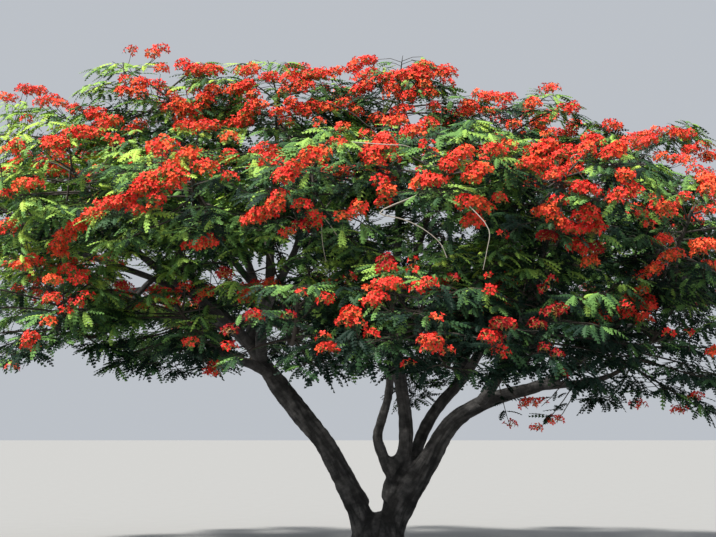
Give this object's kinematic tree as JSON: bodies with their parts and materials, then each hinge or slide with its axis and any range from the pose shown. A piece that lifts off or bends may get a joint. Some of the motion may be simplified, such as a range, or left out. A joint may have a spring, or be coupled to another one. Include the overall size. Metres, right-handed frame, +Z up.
{
  "type": "flame tree",
  "caption": "Umbrella-shaped tree in flower: a short forked trunk, spreading tapering boughs and a wide layered crown of feathery leaf sprays topped with heads of blossom",
  "frame": {"origin": "the middle of the flat cut under the trunk, at ground level", "axes": "+Z up, +X along the broad side of the crown, +Y through the crown from its front to its rear"},
  "size_m": [12.1551, 10.2958, 6.6044],
  "materials": {
    "bark": "matt grey-brown bark",
    "foliage": "soft green feathery leaves",
    "blossom": "scarlet petals"
  },
  "bodies": {
    "root": {"back_limb": "bark", "centre_front_east_foliage": "foliage", "centre_front_west_foliage": "foliage", "centre_west_top_foliage": "foliage", "crown_top_foliage": "foliage", "east_front_bough": "bark", "east_front_foliage": "foliage", "east_front_skirt_bough": "bark", "east_front_skirt_foliage": "foliage", "east_high_foliage": "foliage", "east_limb": "bark", "east_shoulder_foliage": "foliage", "east_skirt_bough": "bark", "east_skirt_foliage": "foliage", "east_top_bough": "bark", "east_top_foliage": "foliage", "far_east_bough": "bark", "far_east_shoulder_foliage": "foliage", "far_west_bough": "bark", "far_west_shoulder_foliage": "foliage", "front_east_skirt_bough": "bark", "front_east_skirt_foliage": "foliage", "front_west_bough": "bark", "front_west_skirt_bough": "bark", "front_west_skirt_foliage": "foliage", "inner_limb": "bark", "middle_limb": "bark", "rear_bough": "bark", "rear_centre_bough": "bark", "rear_centre_foliage": "foliage", "rear_east_bough": "bark", "rear_east_foliage": "foliage", "rear_far_east_bough": "bark", "rear_far_east_foliage": "foliage", "rear_far_west_bough": "bark", "rear_far_west_foliage": "foliage", "rear_top_east_bough": "bark", "rear_top_east_foliage": "foliage", "rear_top_foliage": "foliage", "rear_top_west_foliage": "foliage", "rear_west_bough": "bark", "rear_west_foliage": "foliage", "trunk": "bark", "west_back_limb": "bark", "west_front_bough": "bark", "west_front_foliage": "foliage", "west_inner_bough": "bark", "west_inner_skirt_foliage": "foliage", "west_limb": "bark", "west_low_bough": "bark", "west_peak_bough": "bark", "west_peak_foliage": "foliage", "west_shoulder_foliage": "foliage", "west_skirt_bough": "bark", "west_skirt_foliage": "foliage", "west_top_bough": "bark", "west_top_foliage": "foliage"}
  },
  "joints": []
}
